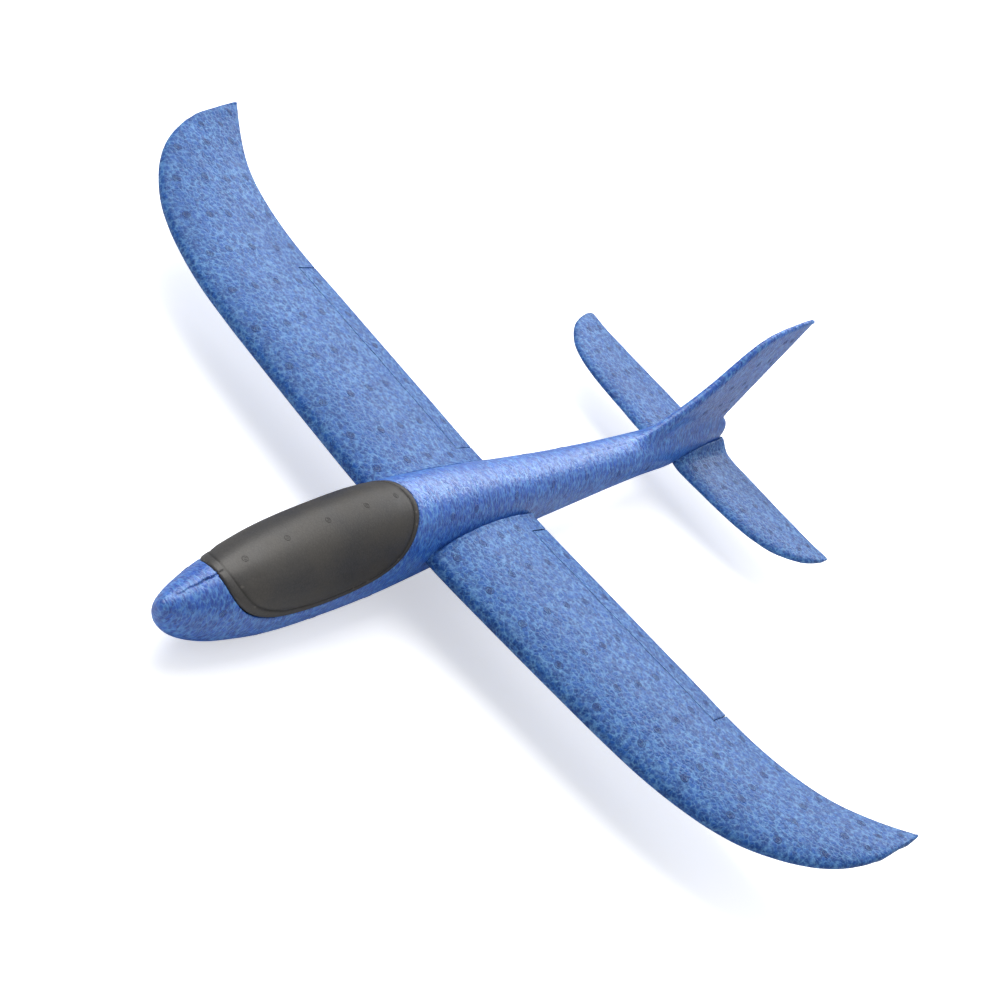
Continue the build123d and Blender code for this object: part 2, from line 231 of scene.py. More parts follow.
# canopy outline on the unrolled body surface: distance inside it, by place along and round
_ey = np.linspace(-208.9, -91.6, 700)
_edge = []
_n = len(CANOPY_EDGE)
_arc = [0.0]
for (a0, b0), (a1, b1) in zip(CANOPY_EDGE[:-1], CANOPY_EDGE[1:]):
    _arc.append(_arc[-1] + math.hypot(a1 - a0, b1 - b0))
_par = np.linspace(0, _arc[-1], 900)
_eyz = hermite([(s, y, z) for s, (y, z) in zip(_arc, CANOPY_EDGE)], _par)
_et, _eb, _ew = profile(_eyz[:, 0])
_ec, _eh = (_et + _eb) / 2, (_et - _eb) / 2
_rel = (_eyz[:, 1] - _ec) / _eh
_keep = _rel < 1.0
_phi = np.arccos(np.clip(np.sign(_rel) * np.abs(np.clip(_rel, -1, 1)) ** (BODY_EXP / 2), -1, 1))

_gy = np.arange(-222.0, -80.0, 0.5)
_gp = np.linspace(0, math.pi, 361)
_pt, _pb, _pw = profile(_gy)
_px = _pw[:, None] * np.abs(np.sin(_gp)) ** (2 / BODY_EXP)
_pz = ((_pt - _pb) / 2)[:, None] * np.sign(np.cos(_gp)) * np.abs(np.cos(_gp)) ** (2 / BODY_EXP)
_S = np.concatenate([np.zeros((len(_gy), 1)),
                     np.cumsum(np.hypot(np.diff(_px, axis=1), np.diff(_pz, axis=1)), axis=1)], axis=1)


def grid_read(table, a0, da, b0, db, a, b):
    i = np.clip((a - a0) / da, 0, table.shape[0] - 1.001)
    j = np.clip((b - b0) / db, 0, table.shape[1] - 1.001)
    i0, j0 = i.astype(int), j.astype(int)
    u, v = i - i0, j - j0
    return (table[i0, j0] * (1 - u) * (1 - v) + table[i0 + 1, j0] * u * (1 - v)
            + table[i0, j0 + 1] * (1 - u) * v + table[i0 + 1, j0 + 1] * u * v)


_oy = _eyz[_keep, 0]
_os = grid_read(_S, -222.0, 0.5, 0.0, math.pi / 360, _oy, _phi[_keep])
_o = np.stack([np.concatenate([_oy, _oy[::-1]]), np.concatenate([_os, -_os[::-1]])], 1)
_qs = np.arange(0.0, 62.0, 0.5)
_Q = np.stack(np.meshgrid(_gy, _qs, indexing="ij"), -1).reshape(-1, 2)
_A, _B = _o[:-1], _o[1:]
_D = _B - _A
_L2 = np.maximum((_D ** 2).sum(1), 1e-12)
_dist = np.full(len(_Q), 1e9)
for c in range(0, len(_Q), 4000):
    P = _Q[c:c + 4000, None, :] - _A[None]
    u = np.clip((P * _D[None]).sum(-1) / _L2, 0, 1)
    _dist[c:c + 4000] = np.sqrt(((P - u[..., None] * _D[None]) ** 2).sum(-1)).min(1)
_half = np.interp(_Q[:, 0], _oy, _os, left=-1, right=-1)
_E = np.where(_Q[:, 1] < _half, _dist, -_dist).reshape(len(_gy), len(_qs))


def around(x, y, z):
    """Where the point lies round the body's section from its top line, as an angle."""
    top, bottom, w = profile(y)
    zc, h = (top + bottom) / 2, np.maximum((top - bottom) / 2, 0.03)
    w = np.maximum(w, 0.03)
    up = (z - zc) / h
    a = np.arctan2((np.abs(x) / w) ** (BODY_EXP / 2), np.sign(up) * np.abs(up) ** (BODY_EXP / 2))
    return a


def e_canopy(x, y, z):
    """Distance inside the canopy outline along the surface, negative outside."""
    a = around(x, y, z)
    s = grid_read(_S, -222.0, 0.5, 0.0, math.pi / 360, y, a)
    return grid_read(_E, -222.0, 0.5, 0.0, 0.5, y, s)


def seam_wander(y):
    return (0.22 * np.sin(y * 0.83 + 0.6) + 0.13 * np.sin(y * 2.9 + 1.0) + 0.09 * np.sin(y * 6.7 + 2.0))


def seam_mask(x, y, z):
    """The rough parting seam on top of the nose, and the faint one along the boom."""
    top, bottom, w = profile(y)
    upper = z > (top + bottom) / 2 + 2
    nose = np.exp(-((x - seam_wander(y)) / 0.36) ** 2) * (0.35 + 0.65 * smoothstep(-222.0, -215.0, y)) * smoothstep(-232.0, -226.0, y) * (y < -200)
    nose = nose * (0.8 + 0.2 * np.sin(y * 2.6) * np.sin(y * 0.9 + 1))
    boom = np.exp(-((x - 0.5 * seam_wander(y * 0.6)) / 0.32) ** 2) * smoothstep(40, 70, y) * (1 - smoothstep(112, 122, y))
    boom = boom * smoothstep(0.1, 0.8, np.sin(y * 1.1) * 0.5 + 0.5)
    return np.where(upper, nose, 0), np.where(upper, boom, 0)


def f_fuselage(p, fine=True):
    x, y, z = p[:, 0], p[:, 1], p[:, 2]
    d = d_body(x, y, z)
    rear = y > 95
    if rear.any():
        k = 4.0 + 5.0 * smoothstep(125, 160, y[rear]) - 6.8 * smoothstep(196, 214, y[rear])
        d[rear] = smin(d[rear], d_fin(x[rear], y[rear], z[rear]), k)
    # raised line along each side of the boom that ends at the tailplane
    lip = np.exp(-((z - 22.4 + 0.02 * (y - 165)) / 0.9) ** 2) * smoothstep(130, 158, y) * (1 - smoothstep(167, 170, y))
    d = d - 0.45 * lip
    if fine:
        nose, boom = seam_mask(x, y, z)
        d = d + 0.85 * nose + 0.35 * boom
        step = smoothstep(-0.25, 0.25, x - seam_wander(y)) * smoothstep(-232.0, -222.0, y) * (y < -195) * (z > 20)
        d = d + 0.28 * step * np.exp(-np.maximum(x, 0) / 6.0)
    front = (y > -214) & (y < -86)
    if front.any():
        xf, yf, zf = x[front], y[front], z[front]
        e = e_canopy(xf, yf, zf)
        df = d[front]
        cut = np.maximum(-(e + 0.22), -(df + 4.3))
        d[front] = smax(df, -cut, 0.7)
    return d


def surface_nets(f, low, high, h):
    """Quad mesh of f = 0 in a box, one point in each crossing cell."""
    ax = [np.arange(a, b + h, h) for a, b in zip(low, high)]
    shape = tuple(len(a) for a in ax)
    F = np.empty(shape, np.float32)
    YZ = np.stack(np.meshgrid(ax[1], ax[2], indexing="ij"), -1).reshape(-1, 2)
    for i, x in enumerate(ax[0]):
        P = np.concatenate([np.full((len(YZ), 1), x), YZ], 1)
        F[i] = f(P).reshape(shape[1:])
    F[np.abs(F) < 1e-6] = 1e-6
    inside = F < 0
    total = np.zeros(tuple(s - 1 for s in shape), np.int8)
    corners = [(a, b, c) for a in (0, 1) for b in (0, 1) for c in (0, 1)]
    for a, b, c in corners:
        total += inside[a:shape[0] - 1 + a, b:shape[1] - 1 + b, c:shape[2] - 1 + c]
    I, J, K = np.nonzero((total > 0) & (total < 8))
    index = np.full(total.shape, -1, np.int32)
    index[I, J, K] = np.arange(len(I))
    pos, count = np.zeros((len(I), 3)), np.zeros(len(I))
    for a, b, c in corners:
        for axis in range(3):
            if (a, b, c)[axis]:
                continue
            a2, b2, c2 = a + (axis == 0), b + (axis == 1), c + (axis == 2)
            fa, fb = F[I + a, J + b, K + c], F[I + a2, J + b2, K + c2]
            m = (fa < 0) != (fb < 0)
            t = np.where(m, fa / np.where(m, fa - fb, 1), 0)
            q = np.tile(np.array([a, b, c], float), (len(I), 1))
            q[:, axis] += t
            pos += q * m[:, None]
            count += m
    verts = np.array([a[0] for a in ax]) + h * (np.stack([I, J, K], 1) + pos / count[:, None])
    quads = []
    for axis in range(3):
        sl0 = [slice(1, -1)] * 3
        sl0[axis] = slice(0, -1)
        sl1 = [slice(1, -1)] * 3
        sl1[axis] = slice(1, None)
        A, B = inside[tuple(sl0)], inside[tuple(sl1)]
        idx = np.argwhere(A != B)
        first = A[tuple(idx.T)]
        base = idx.copy()
        u, v = [(1, 2), (2, 0), (0, 1)][axis]
        cells = []
        for du, dv in ((0, 0), (1, 0), (1, 1), (0, 1)):
            cc = base.copy()
            cc[:, u] += du
            cc[:, v] += dv
            cells.append(index[tuple(cc.T)])
        Q = np.stack(cells, 1)
        Q[~first] = Q[~first][:, ::-1]
        quads.append(Q)
    return verts, np.concatenate(quads)


def onto(f, v, steps=3, limit=0.6):
    """Moves points onto f = 0 along its gradient."""
    v = v.copy()
    e = 0.05
    for _ in range(steps):
        f0 = f(v)
        g = np.stack([(f(v + np.eye(3)[a] * e) - f(v - np.eye(3)[a] * e)) / (2 * e) for a in range(3)], 1)
        n2 = np.maximum((g ** 2).sum(1), 0.05)
        step = -(f0 / n2)[:, None] * g
        ln = np.linalg.norm(step, axis=1)
        step *= np.minimum(1, limit / np.maximum(ln, 1e-9))[:, None]
        v += step
    return v


def refine(verts, faces, pick, rounds=1):
    """Splits the faces whose points are all picked, so that fine detail has points to live on."""
    import bmesh
    me = bpy.data.meshes.new("tmp_refine")
    me.from_pydata([tuple(v) for v in verts], [], [tuple(f) for f in faces])
    bm = bmesh.new()
    bm.from_mesh(me)
    for _ in range(rounds):
        co = np.array([v.co for v in bm.verts])
        m = pick(co)
        bm.verts.ensure_lookup_table()
        edges = [e for e in bm.edges if m[e.verts[0].index] and m[e.verts[1].index]]
        bmesh.ops.subdivide_edges(bm, edges=edges, cuts=1, use_grid_fill=True)
        bm.verts.index_update()
    bm.to_mesh(me)
    bm.free()
    v = np.array([p.co for p in me.vertices], float)
    fs = [tuple(p.vertices) for p in me.polygons]
    bpy.data.meshes.remove(me)
    return v, fs


# ---------------------------------------------------------------- vent marks of the mould
def vent_patch(surface, size=1.85, bars=4, turn=0.0, height=0.12):
    """Ring and parallel slit marks that the mould's steam vents leave, laid on a surface; their dark slits and rib
    flanks are painted shade.
    surface(a, b) gives points and normals at offsets a, b from the mark's centre."""
    offs, faces = [], []

    def strip(line_a, line_b, width, closed, prof):
        """A low rounded rib along a line of offsets; the third value of each profile row is painted shade, which makes
        it read as a groove.
        """
        n = len(line_a)
        la, lb = np.array(line_a), np.array(line_b)
        if closed:
            ta, tb = np.roll(la, -1) - np.roll(la, 1), np.roll(lb, -1) - np.roll(lb, 1)
        else:
            ta, tb = np.gradient(la), np.gradient(lb)
        ln = np.hypot(ta, tb)
        na, nb = -tb / ln, ta / ln
        start = len(offs)
        for o, up, sh in prof:
            for i in range(n):
                tip = not closed and i in (0, n - 1)
                offs.append((la[i] + na[i] * o * width, lb[i] + nb[i] * o * width,
                             (-0.1 if tip else up) * height, sh))
        for j in range(len(prof) - 1):
            for i in range(n if closed else n - 1):
                i2 = (i + 1) % n
                faces.append((start + j * n + i, start + j * n + i2, start + (j + 1) * n + i2, start + (j + 1) * n + i))

    ang = np.linspace(0, 2 * math.pi, 26, endpoint=False)
    strip(size * np.cos(ang), size * np.sin(ang), 0.30, True,
          [(-1.0, -0.15, 0.25), (-0.6, 0.5, 0.9), (0.0, 1.0, 0.25), (0.6, 0.5, 0.9), (1.0, -0.15, 0.25)])
    c, w = math.cos(turn), math.sin(turn)
    for i in range(bars):
        off = (i - (bars - 1) / 2) * size * 1.5 / bars
        half = math.sqrt(max((size * 0.8) ** 2 - off ** 2, 0.1))
        t = np.linspace(-half, half, 6)
        strip(t * c - off * w, t * w + off * c, 0.28, False,
              [(-1.0, -0.2, 0.3), (-0.45, 0.45, 1.0), (0.0, 0.6, 1.0), (0.45, 0.45, 1.0), (1.0, -0.2, 0.3)])
    # floor between the ribs, just over the surface, with light painted shade so that it looks slightly sunk
    start = len(offs)
    offs.append((0.0, 0.0, 0.025, 0.22))
    for share_r in (0.5, 0.97):
        for q in np.linspace(0, 2 * math.pi, 18, endpoint=False):
            offs.append((size * share_r * math.cos(q), size * share_r * math.sin(q), 0.025, 0.22))
    for i in range(18):
        i2 = (i + 1) % 18
        faces.append((start, start + 1 + i, start + 1 + i2))
        faces.append((start + 1 + i, start + 19 + i, start + 19 + i2, start + 1 + i2))
    o = np.array(offs)
    P, N = surface(o[:, 0], o[:, 1])
    return P + N * o[:, 2:3], faces, o[:, 3]


class Builder:
    def __init__(self):
        self.v, self.f, self.s, self.n = [], [], [], 0

    def add(self, verts, faces, shade=None):
        verts = np.asarray(verts, float)
        self.f.extend(tuple(int(i) + self.n for i in f) for f in faces)
        self.v.append(verts)
        self.s.append(np.zeros(len(verts)) if shade is None else np.asarray(shade, float))
        self.n += len(verts)

    def done(self, name, sharp=40.0):
        return new_mesh(name, np.concatenate(self.v), self.f, np.concatenate(self.s), sharp)


# ---------------------------------------------------------------- fuselage piece
H = 1.0
verts, quads = surface_nets(f_fuselage, (-22.5, -237.5, -1.5), (22.5, 237.0, 109.5), H)
verts = onto(f_fuselage, verts, 3)


def pick_fine(v):
    x, y, z = v.T
    nose, boom = (np.abs(x) < 1.5) & (y > -232) & (y < -207) & (z > 30), (np.abs(x) < 1.1) & (y > 45) & (y < 122) & (z > 38)
    rim = np.zeros(len(v), bool)
    fr = (y > -214) & (y < -86)
    rim[fr] = np.abs(e_canopy(x[fr], y[fr], z[fr]) + 0.2) < 1.3
    return nose | boom | rim


verts, faces = refine(verts, quads, pick_fine, 1)
verts, faces = refine(verts, faces, lambda v: (np.abs(v[:, 0]) < 1.3) & (v[:, 1] < -207) & (v[:, 1] > -231) & (v[:, 2] > 30), 1)
fine = pick_fine(verts)
verts[fine] = onto(f_fuselage, verts[fine], 3, 0.3)
print("fuselage", len(verts), len(faces))


def body_surface(xc, yc, zc, side=1):
    """Surface patch round a point of the fuselage, for a vent mark."""
    c = onto(f_fuselage, np.array([[xc, yc, zc]], float), 6)[0]
    e = 0.2
    g = np.array([(f_fuselage((c + np.eye(3)[a] * e)[None])[0] - f_fuselage((c - np.eye(3)[a] * e)[None])[0]) / (2 * e) for a in range(3)])
    n = g / np.linalg.norm(g)
    u = np.cross([1, 0, 0] if abs(n[0]) < 0.5 else [0, 0, 1], n)
    u = np.array([0, 1, 0]) - n * n[1]
    u /= np.linalg.norm(u)
    w = np.cross(n, u)

    def surface(a, b):
        p = c + np.outer(a, u) + np.outer(b, w)
        p = onto(f_fuselage, p, 3)
        return p, np.tile(n, (len(a), 1))
    return surface


painted_shade = np.zeros(len(verts))
# painted shade: darker along the nose seam's groove and, fainter, along the boom's seam line
nose_m, boom_m = seam_mask(*verts.T)
painted_shade = np.maximum(nose_m * 1.0, boom_m * 0.55)
# painted shade inside the canopy's outline, on the body's recess under the canopy's edge
fr = (verts[:, 1] > -214) & (verts[:, 1] < -86)
ee = e_canopy(*verts[fr].T)
painted_shade[fr] = np.maximum(painted_shade[fr], smoothstep(-0.1, 0.6, ee) * 0.9)
fuse = Builder()
fuse.add(verts, faces, painted_shade)
spots = [(-209.2, 31.2), (-176.0, 12.0), (-140.0, 12.0), (-104.0, 15.0), (-68.2, 51.0), (-47.5, 50.0),
         (-9.6, 47.3), (27.3, 44.0), (62.0, 40.5), (97.0, 35.0), (132.0, 30.0)]
for yy, zz in spots:
    top, bottom, w = (float(q[0]) for q in profile(np.array([yy])))
    up = (zz - (top + bottom) / 2) / ((top - bottom) / 2)
    xx = w * max(1 - abs(up) ** BODY_EXP, 0.01) ** (1 / BODY_EXP)
    for side in (1, -1):
        fuse.add(*vent_patch(body_surface(side * xx, yy, zz), size=1.6, bars=3, turn=0.6, height=0.13))
# vent groups on the fin, in rows along its chord
FIN_VENTS = [(178.0, 52.5), (192.5, 54.5), (205.5, 55.0), (209.0, 46.5), (188.0, 68.0), (202.0, 68.5), (210.0, 64.0),
             (200.0, 82.5), (212.0, 82.5), (219.0, 79.5), (214.0, 96.0), (223.0, 95.0)]
for yy, zz in FIN_VENTS:
    for side in (1, -1):
        fuse.add(*vent_patch(body_surface(side * 3.0, yy, zz), size=1.5, bars=3, turn=0.9, height=0.12))
fuselage = fuse.done("fuselage_foam")


# ---------------------------------------------------------------- wing
def share(s, nose):
    s = np.asarray(s, float)
    a = (1 - np.clip((nose - s) / nose, 0, 1) ** 2.5) ** (1 / 2.5)
    b = 1 - np.clip((s - nose) / (1 - nose), 0, 1) ** 1.8
    return np.where(s <= nose, a, b)


def wing_row(x):
    return WING[1][1:] if x <= 26 else tuple(hermite(WING, x)[0])


def wing_point(x, s, up, row=None):
    ly, lz, ty, tz, rise, drop = row or wing_row(abs(x))
    s = np.asarray(s, float)
    y, z = ly + (ty - ly) * s, lz + (tz - lz) * s
    if up:
        z = z + rise * share(s, WING_NOSE) + WING_TE * s ** 2
    else:
        z = z - drop * share(s, WING_NOSE) - WING_TE * s ** 2
    return np.stack([np.full(len(s), float(x)), y, z], 1)


def hinge(x):
    k = (abs(x) - HINGE_X0) / (HINGE_X1 - HINGE_X0)
    return HINGE_Y0 + (HINGE_Y1 - HINGE_Y0) * k


CUT_IN, CUT_OUT = HINGE_X0 - END_CUT, HINGE_X1 + END_CUT
NR, NF = ((9, 40))
nose_a = np.radians(np.linspace(0, 90, 22))
nose_s = WING_NOSE * (1 - np.cos(nose_a) ** 0.8)


def te_round(top, low, n=3):
    """Rounded trailing edge between the last top and bottom points."""
    mid, half = (top + low) / 2, (top - low) / 2
    out = []
    for i in range(1, n + 1):
        a = math.pi * i / (n + 1)
        out.append(mid + half * math.cos(a) + np.array([0, 0.55 * np.linalg.norm(half) * math.sin(a), 0]))
    return np.array(out)


def wing_ring(x, cut, squeeze=1.0):
    row = wing_row(min(abs(x), HALF_SPAN))
    ly, lz, ty, tz, rise, drop = row
    if abs(x) > 239.2:
        u = min((abs(x) - 239.2) / 1.85, 1.0)
        ty = ty - 1.8 * (1 - math.sqrt(1 - u * u))
        ly = ly + max(abs(x) - 240, 0) * 7
        row = (ly, lz, ty, tz, rise, drop)
    if squeeze < 1:
        rise, drop = rise * squeeze, drop * squeeze
        c = (ly + ty) / 2 + 2
        ly, ty = c + (ly - c) * (0.6 + 0.4 * squeeze), c + (ty - c) * (0.85 + 0.15 * squeeze)
        row = (ly, lz, ty, tz, rise, drop)
    yh = hinge(x) if abs(x) <= CUT_OUT + 0.01 else ly + (ty - ly) * HINGE_SHARE
    sh = (yh - 0.30 - ly) / (ty - ly)
    if not cut:
        sh = (yh - ly) / (ty - ly) if abs(x) > CUT_OUT + 0.01 else sh
    front = np.concatenate([nose_s, np.linspace(WING_NOSE, sh, NF)[1:]])
    top_f, low_f = wing_point(x, front, True, row), wing_point(x, front, False, row)
    if squeeze < 1:
        te = WING_TE * (1 - squeeze)
        top_f[:, 2] -= te * front ** 2
        low_f[:, 2] += te * front ** 2
    if cut:
        a, b = top_f[-1], low_f[-1]
        wall = [a + (b - a) * t for t in np.linspace(0, 1, 2 * NR + 5)]
        wall = np.array(wall)[1:-1]
        rear_top, te_pts, rear_low = wall[:NR][::-1], wall[NR:NR + 3], wall[NR + 3:]
    else:
        rear = np.linspace(sh, 1.0, NR + 1)[1:]
        rt, rl = wing_point(x, rear, True, row), wing_point(x, rear, False, row)
        if squeeze < 1:
            rt[:, 2] -= te * rear ** 2
            rl[:, 2] += te * rear ** 2
        te_pts = te_round(rt[-1], rl[-1])
        rear_top, rear_low = rt[::-1], rl[::-1]
    # order: top from trailing edge to nose, then bottom back to the trailing edge, then the rounded end
    if cut:
        te_o = te_pts[::-1]
        ring = [rear_top, top_f[::-1], low_f[1:], rear_low[::-1], te_o]
    else:
        ring = [rear_top, top_f[::-1], low_f[1:], rear_low[::-1], te_pts[::-1]]
    return np.concatenate(ring)


_r = wing_row(CUT_OUT)
HINGE_SHARE = (hinge(CUT_OUT) - _r[0]) / (_r[2] - _r[0])

step = 1.75
stations = [(0.0, False, 1), (8.0, False, 1)]
stations += [(x, False, 1) for x in np.arange(12.5, 24.6, 0.55)]
stations += [(CUT_IN - 0.9, False, 1), (CUT_IN, False, 1), (CUT_IN, True, 1), (HINGE_X0 + 0.5, True, 1)]
stations += [(x, True, 1) for x in np.arange(HINGE_X0 + 2, HINGE_X1 - 1, step)]
stations += [(CUT_OUT - 0.5, True, 1), (CUT_OUT, True, 1), (CUT_OUT, False, 1), (CUT_OUT + 1.0, False, 1)]
stations += [(x, False, 1) for x in np.arange(CUT_OUT + 2.6, 222, step)]
stations += [(x, False, 1) for x in (223.5, 225.2, 226.8, 228.3, 229.7, 231, 232.2, 233.3, 234.3, 235.2, 236, 236.7,
                                     237.3, 237.9, 238.4, 238.8, 239.2, 239.5, 239.8)]
stations += [(240.1, False, 1), (240.4, False, 0.97), (240.7, False, 0.85), (240.9, False, 0.62), (241.0, False, 0.35)]


def wing_relief(v):
    """Slight unevenness, and a low raised rim where the wing enters the fuselage."""
    x, y, z = v.T
    out = v.copy()
    row = hermite(WING, np.clip(np.abs(x), 26, 240))
    s = np.clip((y - row[:, 0]) / (row[:, 2] - row[:, 0]), 0, 1)
    mid = row[:, 1] + (row[:, 3] - row[:, 1]) * s
    up = np.where(z > mid, 1.0, -1.0)
    amount = 0.10 * wobble(v, 13, 3) + 0.06 * wobble(v, 6, 4)
    fade = smoothstep(0.0, 0.08, s) * smoothstep(0.0, 0.03, 1 - s)
    out[:, 2] += up * amount * fade
    top, bottom, w = profile(y)
    zc, h = (top + bottom) / 2, (top - bottom) / 2
    half = w * np.maximum(1 - (np.abs(z - zc) / h) ** BODY_EXP, 0.02) ** (1 / BODY_EXP)
    gap = np.abs(x) - half
    near = (up > 0) * smoothstep(0.012, 0.05, s)
    out[:, 2] += near * (0.55 * np.exp(-((gap - 1.9) / 0.9) ** 2) - 2.2 * (1 - smoothstep(0.1, 1.5, gap)))
    return out


def merge(ob):
    """Joins points that lie on one another."""
    import bmesh
    bm = bmesh.new()
    bm.from_mesh(ob.data)
    bmesh.ops.remove_doubles(bm, verts=bm.verts, dist=1e-6)
    bm.to_mesh(ob.data)
    bm.free()
    ob.data.shade_smooth()
    ob.data.set_sharp_from_angle(angle=math.radians(40))


def loft_rings(rings, close_ends=True):
    n = len(rings[0])
    v = np.concatenate(rings)
    faces = []
    for i in range(len(rings) - 1):
        for j in range(n):
            k = (j + 1) % n
            faces.append((i * n + j, i * n + k, (i + 1) * n + k, (i + 1) * n + j))
    if close_ends:
        faces.append(tuple(range(n))[::-1])
        faces.append(tuple((len(rings) - 1) * n + j for j in range(n)))
    return v, faces


rings = [wing_ring(x, c, q) for x, c, q in stations]
left = np.array(rings)
right = left[::-1].copy()
right[..., 0] *= -1
all_rings = np.concatenate([right[:-1], left])
v, faces = loft_rings(list(all_rings))
v = wing_relief(v)
wingb = Builder()
wingb.add(v, faces)

# places of the vent marks on the left half of the wing; the right half mirrors them
WING_VENTS = [
    (27.3, -69.7), (26.0, -50.1), (24.9, -34.2), (23.4, -17.0), (47.4, -67.9), (44.8, -49.4), (44.2, -34.7),
    (45.1, -17.8), (67.7, -66.5), (67.4, -48.0), (68.2, -32.9), (69.5, -17.7), (91.7, -66.1), (91.8, -48.4),
    (92.6, -33.7), (91.5, -18.4), (115.9, -65.3), (113.1, -47.8), (115.7, -33.4), (116.2, -17.3),
    (139.5, -59.7), (138.0, -46.3), (138.1, -30.3), (136.7, -13.5), (162.0, -54.2), (161.8, -42.0),
    (160.6, -26.2), (158.4, -9.1), (158.8, 4.3), (186.1, -48.8), (183.0, -36.4), (181.1, -24.5),
    (178.8, -9.2), (178.9, 5.2), (206.1, -39.4), (203.6, -22.6), (200.3, -8.6), (201.0, 6.4),
    (222.5, -25.6), (221.5, -6.4), (221.1, 11.5), (232.0, -2.4), (230.3, 10.6), (235.8, 21.5)]
AILERON_VENTS = [(43.6, 3.5), (70.0, 2.5), (93.4, 2.5), (114.1, 3.6), (136.4, 3.8)]


def wing_surface(xc, yc, up):
    def surface(a, b):
        x, y = xc + np.asarray(a), yc + np.asarray(b)
        row = hermite(WING, np.clip(np.abs(x), 26, 239.5))
        s = (y - row[:, 0]) / (row[:, 2] - row[:, 0])
        z = row[:, 1] + (row[:, 3] - row[:, 1]) * s
        k = share(s, WING_NOSE)
        z = z + row[:, 4] * k + WING_TE * s ** 2 if up else z - row[:, 5] * k - WING_TE * s ** 2
        p = np.stack([x, y, z], 1)
        p = wing_relief(p) if abs(xc) > 22 else p
        n = np.tile([0, -0.03, 1.0 if up else -1.0], (len(x), 1))
        return p, n
    return surface


for side in (1, -1):
    for i, (xv, yv) in enumerate(WING_VENTS):
        wingb.add(*vent_patch(wing_surface(side * xv, yv, True), size=1.8 if xv < 230 else 1.4, bars=4, turn=0.75 * side))
        if xv > 40 and xv < 230:
            wingb.add(*vent_patch(wing_surface(side * xv, yv, False), size=1.8, bars=4, turn=0.75 * side))
wing = wingb.done("wing_foam")
merge(wing)


# ---------------------------------------------------------------- ailerons and their hinge creases
def aileron_ring(x, inset=0.0):
    row = wing_row(abs(x))
    ly, lz, ty, tz, rise, drop = row
    yh = hinge(x)
    s0 = (yh + 0.30 - ly) / (ty - ly)
    top = wing_point(x, np.linspace(s0, 1, NR + 4), True, row)
    zt = float(wing_point(x, [(yh - ly) / (ty - ly)], True, row)[0, 2])
    axis_z = zt - SKIN_T / 2
    zb = float(wing_point(x, [(yh + 3 - ly) / (ty - ly)], False, row)[0, 2])
    yb = yh + 0.30 + (axis_z - zb) * RAKE
    low = wing_point(x, np.linspace((yb - ly) / (ty - ly), 1, NR + 4), False, row)
    te = te_round(top[-1], low[-1])
    wall = []
    for t in np.linspace(0, 1, 8)[1:-1]:
        z = low[0, 2] + (top[0, 2] - low[0, 2]) * t
        wall.append((x, yh + 0.30 + max(axis_z - z, 0) * RAKE, z))
    ring = np.concatenate([top[::-1], np.array(wall)[::-1], low, te[::-1]])
    if inset:
        c = ring.mean(0)
        d = ring - c
        ln = np.linalg.norm(d, axis=1)
        ring = ring - d * (inset / np.maximum(ln, 1e-6))[:, None]
    return ring


pieces = {}
for side, word in ((1, "left"), (-1, "right")):
    xs = np.concatenate([[HINGE_X0 + 0.25], np.arange(HINGE_X0 + 1.5, HINGE_X1 - 1, step), [HINGE_X1 - 0.25]])
    rr = [aileron_ring(HINGE_X0, 0.25)] + [aileron_ring(x) for x in xs] + [aileron_ring(HINGE_X1, 0.25)]
    rr = np.array(rr)
    rr[..., 0] *= side
    if side < 0:
        rr = rr[::-1]
    v, faces = loft_rings(list(rr))
    b = Builder()
    b.add(wing_relief(v), faces)
    for xv, yv in AILERON_VENTS:
        b.add(*vent_patch(wing_surface(side * xv, yv, True), size=1.7, bars=4, turn=0.75 * side))
    pieces["aileron_" + word] = b.done("aileron_" + word + "_foam")

    # crease: the thin skin at the bottom of the scored line, fixed in place
    prof = [(-1.5, -0.95), (-0.62, -0.60), (-0.30, -0.52), (0.0, -0.60), (0.30, -0.52), (0.62, -0.60), (1.5, -0.95),
            (1.2, -1.25), (0.4, -1.02), (0.0, -1.0), (-0.4, -1.02), (-1.2, -1.25)]
    rr = []
    for x in np.concatenate([np.arange(HINGE_X0 + 0.05, HINGE_X1 - 0.2, 1.6), [HINGE_X1 - 0.05]]):
        yh = hinge(x)
        row = wing_row(x)
        zt = float(wing_point(x, [(yh - row[0]) / (row[2] - row[0])], True, row)[0, 2])
        rr.append([(side * x, yh + a, zt + c) for a, c in prof])
    rr = np.array(rr)
    if side < 0:
        rr = rr[::-1]
    v, faces = loft_rings(list(rr))
    # painted shade in the crease: darkest along its top middle, paler at its edges and underside
    sh = np.tile([0.4, 0.8, 1, 1, 1, 0.8, 0.4, 0.2, 0.2, 0.2, 0.2, 0.2], len(rr))
    pieces["crease_" + word] = new_mesh("hinge_crease_" + word, v, faces, sh, 60)


# ---------------------------------------------------------------- tailplane
def tail_row(x):
    return TAIL[1][1:] if x <= 7.6 else tuple(hermite(TAIL, x)[0])


def tail_ring(x, squeeze=1.0):
    ly, lz, ty, tz, rise, drop, ub, db = tail_row(min(x, TAIL_HALF_SPAN))
    if squeeze < 1:
        c = (ly + ty) / 2
        rise, drop, ub, db = (q * squeeze for q in (rise, drop, ub, db))
        ly, ty = c + (ly - c) * (0.55 + 0.45 * squeeze), c + (ty - c) * (0.8 + 0.2 * squeeze)
    a = np.radians(np.linspace(0, 90, 16))
    s = np.concatenate([0.33 * (1 - np.cos(a) ** 0.8), np.linspace(0.33, 1, 26)[1:]])
    y, z = ly + (ty - ly) * s, lz + (tz - lz) * s
    k = share(s, 0.33)
    top = np.stack([np.full(len(s), x), y, z + rise * k + ub * s ** 2], 1)
    low = np.stack([np.full(len(s), x), y, z - drop * k - db * s ** 2], 1)
    te = te_round(top[-1], low[-1])
    return np.concatenate([top[::-1], low[1:], te[::-1]])


